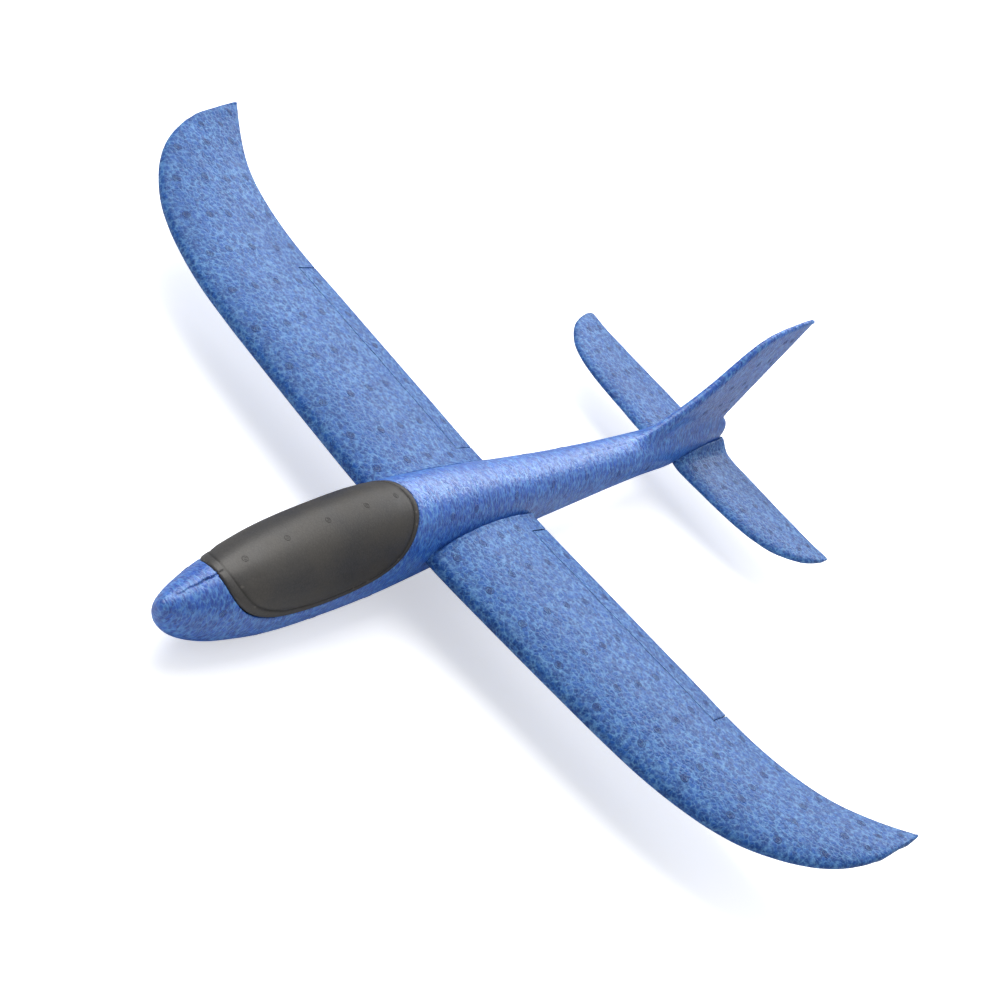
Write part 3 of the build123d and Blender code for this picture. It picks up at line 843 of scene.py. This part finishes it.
st = [0.0, 3.0] + list(np.arange(4.6, 12.6, 0.4)) + [13.2, 14.2, 15.3, 16.5, 17.9]
st += list(np.arange(19.5, 82, 1.7))
st += [83.4, 84.8, 86.0, 87.1, 88.1, 89.0, 89.8, 90.5, 91.1, 91.7, 92.2, 92.6, 92.9]
rr = [tail_ring(x) for x in st] + [tail_ring(93.02, 0.9), tail_ring(93.15, 0.65), tail_ring(93.2, 0.3)]
left = np.array(rr)
right = left[::-1].copy()
right[..., 0] *= -1
v, faces = loft_rings(list(np.concatenate([right[:-1], left])))
sgn = np.where(v[:, 2] > 24.2, 1, -1)
v[:, 2] += sgn * 0.07 * wobble(v, 11, 8) * smoothstep(9, 14, np.abs(v[:, 0]))
_t, _b, _w = profile(v[:, 1])
_up = np.clip(np.abs(v[:, 2] - (_t + _b) / 2) / ((_t - _b) / 2), 0, 0.999)
_gap = np.abs(v[:, 0]) - _w * (1 - _up ** BODY_EXP) ** (1 / BODY_EXP)
v[:, 2] += (sgn > 0) * smoothstep(170.0, 173.0, v[:, 1]) * (
    0.35 * np.exp(-((_gap - 1.5) / 0.7) ** 2) - 1.5 * (1 - smoothstep(0.0, 1.1, _gap)))
tb = Builder()
tb.add(v, faces)


def tail_surface(xc, yc, up):
    def surface(a, b):
        x, y = xc + np.asarray(a), yc + np.asarray(b)
        row = hermite(TAIL, np.clip(np.abs(x), 7.6, 92.9))
        s = (y - row[:, 0]) / (row[:, 2] - row[:, 0])
        k = share(s, 0.33)
        z = row[:, 1] + (row[:, 3] - row[:, 1]) * s
        z = z + row[:, 4] * k + row[:, 6] * s ** 2 if up else z - row[:, 5] * k - row[:, 7] * s ** 2
        p = np.stack([x, y, z], 1)
        p[:, 2] += (1 if up else -1) * 0.07 * wobble(p, 11, 8)
        return p, np.tile([0, 0, 1.0 if up else -1.0], (len(x), 1))
    return surface


TAIL_VENTS = [(17.6, 177.0), (18.5, 187.2), (19.1, 198.8), (18.8, 211.0), (33.5, 185.5), (33.1, 199.6), (33.4, 211.0),
              (50.0, 182.0), (50.0, 196.0), (50.0, 209.5), (67.0, 186.5), (67.0, 198.0), (67.0, 209.0), (82.0, 197.0), (82.0, 208.5)]
for side in (1, -1):
    for xv, yv in TAIL_VENTS:
        tb.add(*vent_patch(tail_surface(side * xv, yv, True), size=1.5, bars=3, turn=0.75 * side))
        if xv > 30:
            tb.add(*vent_patch(tail_surface(side * xv, yv, False), size=1.5, bars=3, turn=0.75 * side))
tail = tb.done("tailplane_foam")


# ---------------------------------------------------------------- canopy
def canopy_offset(e):
    """Height of the canopy's face over the body line, by distance in from its edge."""
    flange = 0.28 + 0.10 * np.exp(-((e - 1.9) / 1.0) ** 2)
    groove = -0.42 * np.exp(-((e - 3.7) / 0.40) ** 2)
    dome = 0.42 * smoothstep(3.6, 7.0, e) + 0.30 * smoothstep(7.0, 16.0, e)
    return flange + groove + dome


def f_canopy(p):
    x, y, z = p[:, 0], p[:, 1], p[:, 2]
    d = d_body(x, y, z)
    e = e_canopy(x, y, z)
    notch = 0.45 * np.exp(-(x / 0.35) ** 2) * (e < 3.2) * (y < -200)
    outer = d - canopy_offset(e) * (1 - 0.45 * smoothstep(-190, -203, y)) + notch
    side = 0.10 - e
    k = smax(outer, side, 1.1)
    return smax(k, -(d + 3.8), 0.3)


HC = 0.9
cv, cq = surface_nets(f_canopy, (-23.0, -211.0, 22.5), (23.0, -88.5, 62.0), HC)
cv = onto(f_canopy, cv, 3)


def pick_canopy(v):
    e = e_canopy(*v.T)
    d = d_body(*v.T)
    return (e > -0.5) & (e < 5.0) & (d > -1.6)


cv, cf = refine(cv, cq, pick_canopy, 1)
m = pick_canopy(cv)
cv[m] = onto(f_canopy, cv[m], 3, 0.3)
print("canopy", len(cv), len(cf))
e = e_canopy(*cv.T)
# painted shade in the groove between the canopy's flange and its dome
canopy_groove_shade = np.exp(-((e - 3.75) / 0.45) ** 2) * (d_body(*cv.T) > -1) * 0.9
cb = Builder()
cb.add(cv, cf, canopy_groove_shade)


def canopy_surface(yc):
    def surface(a, b):
        y = yc + np.asarray(b)
        top, bottom, w = profile(y)
        p = np.stack([np.asarray(a), y, top + 1.5 - (np.asarray(a) / 20) ** 2 * 10], 1)
        p = onto(f_canopy, p, 4, 2.0)
        return p, np.tile([0, -0.1, 1.0], (len(y), 1))
    return surface


for yv in (-195.2, -172.5, -148.5, -123.9, -103.4):
    cb.add(*vent_patch(canopy_surface(yv), size=1.25, bars=2, turn=0.785, height=0.12))
canopy = cb.done("canopy_foam")

# ---------------------------------------------------------------- materials
def lin(r, g, b):
    def one(c):
        c = c / 255
        return c / 12.92 if c <= 0.04045 else ((c + 0.055) / 1.055) ** 2.4
    return (one(r), one(g), one(b), 1.0)


class Nodes:
    def __init__(self, name):
        self.m = bpy.data.materials.new(name)
        self.m.use_nodes = True
        self.t = self.m.node_tree
        self.t.nodes.clear()

    def n(self, kind, **kw):
        node = self.t.nodes.new(kind)
        for k, val in kw.items():
            if k.startswith("in_"):
                continue
            setattr(node, k, val)
        return node

    def link(self, a, b):
        self.t.links.new(a, b)

    def math(self, op, a, b=None, clamp=False):
        m = self.n("ShaderNodeMath", operation=op, use_clamp=clamp)
        for i, v in enumerate((a, b)):
            if v is None:
                continue
            if isinstance(v, (int, float)):
                m.inputs[i].default_value = v
            else:
                self.link(v, m.inputs[i])
        return m.outputs[0]

    def ramp(self, value, a, b, lo=0.0, hi=1.0, smooth=True):
        m = self.n("ShaderNodeMapRange", interpolation_type="SMOOTHSTEP" if smooth else "LINEAR")
        self.link(value, m.inputs["Value"])
        m.inputs["From Min"].default_value, m.inputs["From Max"].default_value = a, b
        m.inputs["To Min"].default_value, m.inputs["To Max"].default_value = lo, hi
        return m.outputs[0]

    def mix(self, fac, a, b, blend="MIX"):
        m = self.n("ShaderNodeMix", data_type="RGBA", blend_type=blend)
        for key, v in (("Factor", fac), ("A", a), ("B", b)):
            sock = [s for s in m.inputs if s.name == key and (s.type == "RGBA" if key != "Factor" else s.type == "VALUE")][0]
            if isinstance(v, (int, float)):
                sock.default_value = v
            elif isinstance(v, tuple):
                sock.default_value = v
            else:
                self.link(v, sock)
        return [s for s in m.outputs if s.type == "RGBA"][0]

    def noise(self, vec, scale, detail=2.0, rough=0.5, distort=0.0):
        m = self.n("ShaderNodeTexNoise")
        m.inputs["Scale"].default_value = scale
        m.inputs["Detail"].default_value = detail
        m.inputs["Roughness"].default_value = rough
        m.inputs["Distortion"].default_value = distort
        self.link(vec, m.inputs["Vector"])
        return m.outputs["Fac"], m.outputs["Color"]

    def voronoi(self, vec, scale, feature="F1", rand=1.0):
        m = self.n("ShaderNodeTexVoronoi", feature=feature)
        m.inputs["Scale"].default_value = scale
        m.inputs["Randomness"].default_value = rand
        self.link(vec, m.inputs["Vector"])
        return m

    def mapping(self, scale=(1, 1, 1), rot=(0, 0, 0)):
        tc = self.n("ShaderNodeTexCoord")
        m = self.n("ShaderNodeMapping")
        m.inputs["Scale"].default_value = scale
        m.inputs["Rotation"].default_value = rot
        self.link(tc.outputs["Object"], m.inputs["Vector"])
        return m.outputs[0]


def bead_foam(name, dark, mid, light, stretch=(1, 1, 1), bead=0.0024, vein=0.6, dash=0.5, dash_map=(1, 1, 1), shine=0.4,
              rough=(0.36, 0.5)):
    """Moulded bead foam: fused beads, darker at heart, with paler broken seams, and a satin skin."""
    N = Nodes(name)
    vec = N.mapping(stretch)
    _, nc = N.noise(vec, 420, 2.0, 0.55)
    warp = N.n("ShaderNodeVectorMath", operation="MULTIPLY_ADD")
    N.link(nc, warp.inputs[0])
    warp.inputs[1].default_value = (0.0022, 0.0022, 0.0022)
    N.link(vec, warp.inputs[2])
    wv = warp.outputs[0]
    cell = N.voronoi(wv, 1 / bead, "F1")
    edge = N.voronoi(wv, 1 / bead, "DISTANCE_TO_EDGE").outputs["Distance"]
    sep = N.n("ShaderNodeSeparateColor")
    N.link(cell.outputs["Color"], sep.inputs[0])
    rnd, rnd2 = sep.outputs[0], sep.outputs[1]
    soft = N.ramp(cell.outputs["Distance"], 0.22, 0.78)
    line = N.ramp(edge, 0.0, 0.11, 1.0, 0.0)
    patch, _ = N.noise(vec, 390, 3.0, 0.6)
    brk = N.ramp(patch, 0.36, 0.60, 0.15, 1.0)
    small = N.voronoi(vec, 1.9 / bead, "F1")
    fine, _ = N.noise(vec, 1500, 3.0, 0.65)
    large, _ = N.noise(vec, 34, 2.0, 0.5)
    dashes, _ = N.noise(N.mapping(dash_map), 620, 2.0, 0.5)
    col = N.mix(N.ramp(rnd, 0.05, 0.95), dark, mid)
    col = N.mix(N.math("MULTIPLY", N.math("MULTIPLY", soft, brk), vein), col, light)
    col = N.mix(N.math("MULTIPLY", N.math("MULTIPLY", line, brk), vein * 0.75), col, light)
    col = N.mix(N.ramp(small.outputs["Distance"], 0.30, 0.70, 0.0, 0.30), col, mid)
    col = N.mix(N.ramp(fine, 0.50, 0.70, 0.0, 0.40), col, light)
    col = N.mix(N.ramp(dashes, 0.56, 0.68, 0.0, dash), col, dark)
    col = N.mix(N.ramp(large, 0.3, 0.7, 0.0, 0.22), col, dark)
    # painted highlight: paler colour on sharply curved edges and rims
    geo = N.n("ShaderNodeNewGeometry")
    col = N.mix(N.ramp(geo.outputs["Pointiness"], 0.53, 0.62, 0.0, 0.3), col, light)
    # painted shade: the crevice mask darkens grooves, slits and recesses to a deep blue
    painted_shade = N.n("ShaderNodeAttribute", attribute_name="painted_crevice_shade")
    crevice_shade_color = (dark[0] * 0.15, dark[1] * 0.32, dark[2] * 0.48, 1.0)
    col = N.mix(N.math("MULTIPLY", painted_shade.outputs["Fac"], 0.97), col, crevice_shade_color)
    bsdf = N.n("ShaderNodeBsdfPrincipled")
    N.link(col, bsdf.inputs["Base Color"])
    N.link(N.ramp(fine, 0.2, 0.8, *rough), bsdf.inputs["Roughness"])
    facing = N.n("ShaderNodeLayerWeight")
    facing.inputs["Blend"].default_value = 0.5
    N.link(N.ramp(facing.outputs["Facing"], 0.50, 1.0, shine, shine * 0.12), bsdf.inputs["Specular IOR Level"])
    bsdf.inputs["Specular Tint"].default_value = (0.86, 0.97, 1.0, 1.0)
    dome = N.ramp(edge, 0.0, 0.3, 0.0, 1.0)
    hgt = N.math("ADD", N.math("MULTIPLY", dome, N.ramp(rnd2, 0, 1, 0.3, 1.0)), N.math("MULTIPLY", fine, 0.4))
    bump = N.n("ShaderNodeBump")
    bump.inputs["Strength"].default_value = 0.8
    bump.inputs["Distance"].default_value = 0.00020
    N.link(hgt, bump.inputs["Height"])
    N.link(bump.outputs[0], bsdf.inputs["Normal"])
    out = N.n("ShaderNodeOutputMaterial")
    N.link(bsdf.outputs[0], out.inputs[0])
    return N.m


def canopy_material():
    N = Nodes("charcoal_foam")
    vec = N.mapping()
    grain, _ = N.noise(vec, 1500, 3.0, 0.6)
    cloud, _ = N.noise(vec, 60, 3.0, 0.55)
    edge = N.voronoi(vec, 520, "DISTANCE_TO_EDGE").outputs["Distance"]
    col = N.mix(N.ramp(cloud, 0.3, 0.7), lin(55, 55, 57), lin(66, 64, 62))
    col = N.mix(N.ramp(grain, 0.35, 0.75, 0.0, 0.35), col, lin(84, 82, 79))
    col = N.mix(N.ramp(edge, 0.0, 0.08, 0.22, 0.0), col, lin(38, 38, 40))
    # painted shade: the crevice mask darkens the groove and vent marks to near black
    painted_shade = N.n("ShaderNodeAttribute", attribute_name="painted_crevice_shade")
    col = N.mix(N.math("MULTIPLY", painted_shade.outputs["Fac"], 0.85), col, lin(22, 22, 24))
    # painted highlight: paler, warm colour on sharply curved edges and rims
    geo = N.n("ShaderNodeNewGeometry")
    col = N.mix(N.ramp(geo.outputs["Pointiness"], 0.52, 0.6, 0.0, 0.3), col, lin(120, 116, 110))
    bsdf = N.n("ShaderNodeBsdfPrincipled")
    N.link(col, bsdf.inputs["Base Color"])
    N.link(N.ramp(cloud, 0.2, 0.8, 0.40, 0.50), bsdf.inputs["Roughness"])
    facing = N.n("ShaderNodeLayerWeight")
    facing.inputs["Blend"].default_value = 0.5
    # the front of the moulding is rubbed smoother than its back
    place = N.n("ShaderNodeSeparateXYZ")
    N.link(N.mapping(), place.inputs[0])
    rubbed = N.ramp(place.outputs[1], -0.205, -0.125, 1.0, 0.42)
    N.link(N.math("MULTIPLY", N.ramp(facing.outputs["Facing"], 0.26, 0.78, 0.56, 0.10), rubbed), bsdf.inputs["Specular IOR Level"])
    bsdf.inputs["Specular Tint"].default_value = (1.0, 0.96, 0.90, 1.0)
    bump = N.n("ShaderNodeBump")
    bump.inputs["Strength"].default_value = 0.25
    bump.inputs["Distance"].default_value = 0.0001
    N.link(N.math("ADD", grain, N.math("MULTIPLY", N.ramp(edge, 0, 0.2), 0.4)), bump.inputs["Height"])
    N.link(bump.outputs[0], bsdf.inputs["Normal"])
    out = N.n("ShaderNodeOutputMaterial")
    N.link(bsdf.outputs[0], out.inputs[0])
    return N.m


def steel_material():
    N = Nodes("turned_steel")
    vec = N.mapping((1, 1, 14))
    lines, _ = N.noise(vec, 900, 2.0, 0.5)
    stain, _ = N.noise(N.mapping(), 160, 3.0, 0.6)
    col = N.mix(N.ramp(lines, 0.3, 0.7), lin(120, 121, 124), lin(172, 173, 176))
    col = N.mix(N.ramp(stain, 0.55, 0.8, 0.0, 0.5), col, lin(96, 88, 78))
    bsdf = N.n("ShaderNodeBsdfPrincipled")
    N.link(col, bsdf.inputs["Base Color"])
    bsdf.inputs["Metallic"].default_value = 1.0
    N.link(N.ramp(stain, 0.3, 0.8, 0.28, 0.5), bsdf.inputs["Roughness"])
    bump = N.n("ShaderNodeBump")
    bump.inputs["Strength"].default_value = 0.2
    bump.inputs["Distance"].default_value = 0.00005
    N.link(lines, bump.inputs["Height"])
    N.link(bump.outputs[0], bsdf.inputs["Normal"])
    out = N.n("ShaderNodeOutputMaterial")
    N.link(bsdf.outputs[0], out.inputs[0])
    return N.m


# one blue foam in two copies: the body's copy has a brighter, bluer base colour than the flat parts' copy, painted
# light that makes up for the fuselage's more shaded sides
flat_foam = bead_foam("blue_bead_foam_flat", (0.0035, 0.041, 0.205, 1), (0.0105, 0.083, 0.350, 1), (0.15, 0.345, 0.63, 1),
                      (1, 1, 1), 0.0023, 0.60, 0.75, (1, 1, 1), 0.29, (0.38, 0.52))
brightened_body_foam = bead_foam("blue_bead_foam_body_brightened", (0.0035, 0.043, 0.305, 1), (0.0115, 0.098, 0.53, 1), (0.15, 0.40, 0.77, 1),
                      (0.8, 1.45, 0.8), 0.0025, 0.62, 1.0, (0.55, 1.9, 0.55), 0.9, (0.30, 0.43))
dark_foam = canopy_material()
steel = steel_material()


def paint(ob, mat):
    ob.data.materials.clear()
    ob.data.materials.append(mat)


for ob in (wing, tail, *pieces.values()):
    paint(ob, flat_foam)
paint(fuselage, brightened_body_foam)
paint(canopy, dark_foam)
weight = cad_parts["nose_weight"]
weight.data.materials.clear()
weight.data.materials.append(steel)

# ---------------------------------------------------------------- who rides on what
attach(fuselage, "airframe")
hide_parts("fuselage")
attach(wing, "airframe")
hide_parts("wing")
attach(tail, "airframe")
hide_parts("tailplane")
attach(canopy, "airframe")
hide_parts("canopy")
for side, word in ((1, "left"), (-1, "right")):
    a, c = pieces["aileron_" + word], pieces["crease_" + word]
    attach(a, "aileron_" + word)
    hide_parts("aileron_" + word)
    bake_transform(c)
    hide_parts("aileron_hinge_" + word)

# ---------------------------------------------------------------- floor, light, camera
floor_mat = Nodes("pale_floor")
fv = floor_mat.mapping()
fn, _ = floor_mat.noise(fv, 6, 3.0, 0.5)
fb = floor_mat.n("ShaderNodeBsdfPrincipled")
lp = floor_mat.n("ShaderNodeLightPath")
pale = floor_mat.mix(floor_mat.ramp(fn, 0.3, 0.7), (0.92, 0.925, 0.925, 1), (0.94, 0.94, 0.94, 1))
floor_mat.link(floor_mat.mix(floor_mat.math("MULTIPLY", lp.outputs["Is Glossy Ray"], 0.45), pale, (0, 0, 0, 1)), fb.inputs["Base Color"])
fb.inputs["Roughness"].default_value = 0.9
fb.inputs["Emission Color"].default_value = (1, 1, 1, 1)
floor_mat.link(floor_mat.math("MULTIPLY", lp.outputs["Is Camera Ray"], 0.50), fb.inputs["Emission Strength"])
fb.inputs["Specular IOR Level"].default_value = 0.1
fo = floor_mat.n("ShaderNodeOutputMaterial")
floor_mat.link(fb.outputs[0], fo.inputs[0])
fm = bpy.data.meshes.new("floor")
S = 6.0
fm.from_pydata([(-S, -S, -0.0004), (S, -S, -0.0004), (S, S, -0.0004), (-S, S, -0.0004)], [], [(0, 1, 2, 3)])
fm.materials.append(floor_mat.m)
floor = bpy.data.objects.new("floor", fm)
bpy.context.scene.collection.objects.link(floor)

world = bpy.data.worlds.new("studio")
bpy.context.scene.world = world
world.use_nodes = True
wt = world.node_tree
wt.nodes.clear()
tc = wt.nodes.new("ShaderNodeTexCoord")
sepw = wt.nodes.new("ShaderNodeSeparateXYZ")
wt.links.new(tc.outputs["Generated"], sepw.inputs[0])
rmp = wt.nodes.new("ShaderNodeValToRGB")
rmp.color_ramp.elements[0].position = 0.0
rmp.color_ramp.elements[0].color = (0.32, 0.33, 0.35, 1)
rmp.color_ramp.elements[1].position = 0.55
rmp.color_ramp.elements[1].color = (1.0, 1.0, 1.0, 1)
wt.links.new(sepw.outputs[2], rmp.inputs[0])
front = wt.nodes.new("ShaderNodeMapRange")
front.interpolation_type = "SMOOTHSTEP"
wt.links.new(sepw.outputs[1], front.inputs["Value"])
front.inputs["From Min"].default_value, front.inputs["From Max"].default_value = -0.95, 0.1
front.inputs["To Min"].default_value, front.inputs["To Max"].default_value = 0.45, 1.0
dim = wt.nodes.new("ShaderNodeVectorMath")
dim.operation = "SCALE"
bg = wt.nodes.new("ShaderNodeBackground")
bg.inputs["Strength"].default_value = 0.7
wt.links.new(rmp.outputs[0], dim.inputs[0])
wt.links.new(front.outputs[0], dim.inputs["Scale"])
wt.links.new(dim.outputs[0], bg.inputs[0])
wo = wt.nodes.new("ShaderNodeOutputWorld")
wt.links.new(bg.outputs[0], wo.inputs[0])


def area(name, loc, target, size, power, color=(1, 1, 1)):
    li = bpy.data.lights.new(name, "AREA")
    li.shape = "RECTANGLE"
    li.size, li.size_y = size
    li.energy = power
    li.color = color
    ob = bpy.data.objects.new(name, li)
    ob.location = loc
    ob.rotation_mode = "QUATERNION"
    ob.rotation_quaternion = (Vector(target) - Vector(loc)).to_track_quat("-Z", "Y")
    bpy.context.scene.collection.objects.link(ob)
    return ob


area("top_softbox", (-0.62, 0.0, 1.5), (0, 0, 0), (1.4, 1.6), 23.5)
area("back_softbox", (-0.95, 2.7, 1.5), (0, 0, 0.04), (2.9, 1.1), 52)

cam_data = bpy.data.cameras.new("camera")
cam = bpy.data.objects.new("camera", cam_data)
bpy.context.scene.collection.objects.link(cam)
rv = np.array([1.8459425152531908, 0.992976574249483, 0.21157205233248302])
th = np.linalg.norm(rv)
kx, ky, kz = rv / th
K = np.array([[0, -kz, ky], [kz, 0, -kx], [-ky, kx, 0]])
R = np.eye(3) + math.sin(th) * K + (1 - math.cos(th)) * K @ K
c2w = R.T @ np.diag([1.0, -1.0, -1.0])
m4 = Matrix([list(c2w[i]) + [0.0] for i in range(3)] + [[0, 0, 0, 1]])
m4.translation = Vector((0.31684, -0.94997, 0.60378))
cam.matrix_world = m4
cam_data.sensor_width = 36.0
cam_data.lens = 36.0 * 2.512704
cam_data.clip_start, cam_data.clip_end = 0.05, 50.0
bpy.context.scene.camera = cam
bpy.context.scene.view_settings.view_transform = "Standard"
